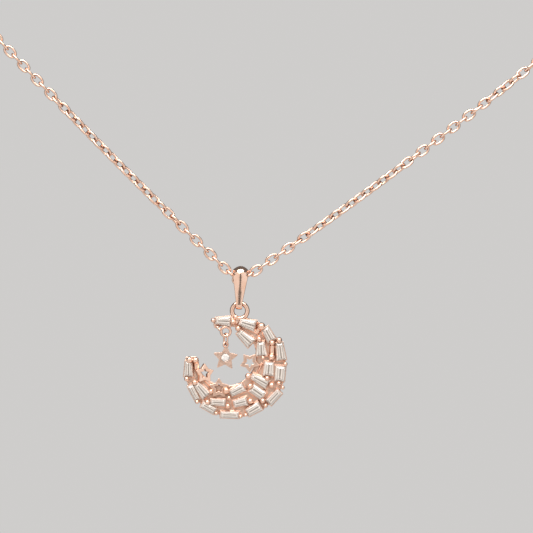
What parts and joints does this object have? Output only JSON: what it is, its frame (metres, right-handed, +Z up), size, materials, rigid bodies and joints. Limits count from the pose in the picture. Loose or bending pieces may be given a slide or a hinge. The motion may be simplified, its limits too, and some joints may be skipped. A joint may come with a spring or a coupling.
{
  "type": "pendant necklace",
  "caption": "Cable-chain necklace with a tapered bail, a crescent pendant set with tapered baguette stones, fixed openwork stars and a dangling star, and a sprung hook clasp.",
  "frame": {"origin": "the centre of the neck opening, level with the two places where the front of the chain hangs from", "axes": "+X to the right as seen from in front, +Y from the front of the chain to the nape, +Z up"},
  "size_m": [0.1454, 0.1031, 0.1103],
  "materials": {
    "rose_gold": "polished rose gold plate",
    "clear_stone": "clear, step cut",
    "spring_wire": "drawn wire"
  },
  "bodies": {
    "neck_chain": {"shoulder_chain_left": "rose_gold", "shoulder_chain_right": "rose_gold", "nape_chain_left": "rose_gold", "nape_chain_right": "rose_gold", "clasp_ring": "rose_gold"},
    "front_chain": {"front_chain_left": "rose_gold", "front_chain_right": "rose_gold"},
    "bail": {"bail": "rose_gold"},
    "pendant": {"pendant_ring": "rose_gold", "crescent_frame": "rose_gold", "stone_01": "clear_stone", "stone_02": "clear_stone", "stone_03": "clear_stone", "stone_04": "clear_stone", "stone_05": "clear_stone", "stone_06": "clear_stone", "stone_07": "clear_stone", "stone_08": "clear_stone", "stone_09": "clear_stone", "stone_10": "clear_stone", "stone_11": "clear_stone", "stone_12": "clear_stone", "stone_13": "clear_stone", "stone_14": "clear_stone", "stone_15": "clear_stone", "stone_16": "clear_stone", "stone_17": "clear_stone", "stone_18": "clear_stone", "stone_19": "clear_stone", "stone_20": "clear_stone", "open_star_left": "rose_gold", "open_star_right": "rose_gold", "open_star_bottom": "rose_gold", "tip_ring": "rose_gold"},
    "star_link": {"star_link": "rose_gold"},
    "star_drop": {"star_drop": "rose_gold", "star_stone": "clear_stone"},
    "clasp": {"clasp_body": "rose_gold", "clasp_pin": "rose_gold", "clasp_spring": "spring_wire"},
    "clasp_lever": {"clasp_lever": "rose_gold"},
    "end_ring": {"end_ring": "rose_gold"}
  },
  "joints": [
    {"name": "front_swing", "type": "hinge", "parent": "neck_chain", "child": "front_chain", "pos_m": [0, -0.05, -0.00013], "axis": [1, 0, 0], "range_deg": [-30, 20]},
    {"name": "bail_swing", "type": "hinge", "parent": "front_chain", "child": "bail", "pos_m": [-0.00895, -0.05, -0.05896], "axis": [0.9986, 0, -0.0523], "range_deg": [-35, 35]},
    {"name": "pendant_swing", "type": "hinge", "parent": "bail", "child": "pendant", "pos_m": [-0.00907, -0.05, -0.06388], "axis": [0, 1, 0], "range_deg": [-45, 45]},
    {"name": "star_link_swing", "type": "hinge", "parent": "pendant", "child": "star_link", "pos_m": [-0.01109, -0.05, -0.06753], "axis": [1, 0, 0], "range_deg": [-35, 35]},
    {"name": "star_swing", "type": "hinge", "parent": "star_link", "child": "star_drop", "pos_m": [-0.01109, -0.05, -0.0687], "axis": [-0.5, 0.866, 0], "range_deg": [-20, 20]},
    {"name": "clasp_play", "type": "hinge", "parent": "neck_chain", "child": "clasp", "pos_m": [-0.00382, 0.05, 0.028], "axis": [0, 1, 0], "range_deg": [-1.2, 1.2]},
    {"name": "gate", "type": "hinge", "parent": "clasp", "child": "clasp_lever", "pos_m": [0.00048, 0.05, 0.02919], "axis": [0, 1, 0], "range_deg": [0, 12], "stiffness_Nm_per_rad": 0.006, "springref_deg": -11.46, "deforming": ["clasp_spring"]},
    {"name": "end_ring_play", "type": "hinge", "parent": "neck_chain", "child": "end_ring", "pos_m": [0.00575, 0.05, 0.028], "axis": [0, 1, 0], "range_deg": [-1.2, 1.2]}
  ]
}
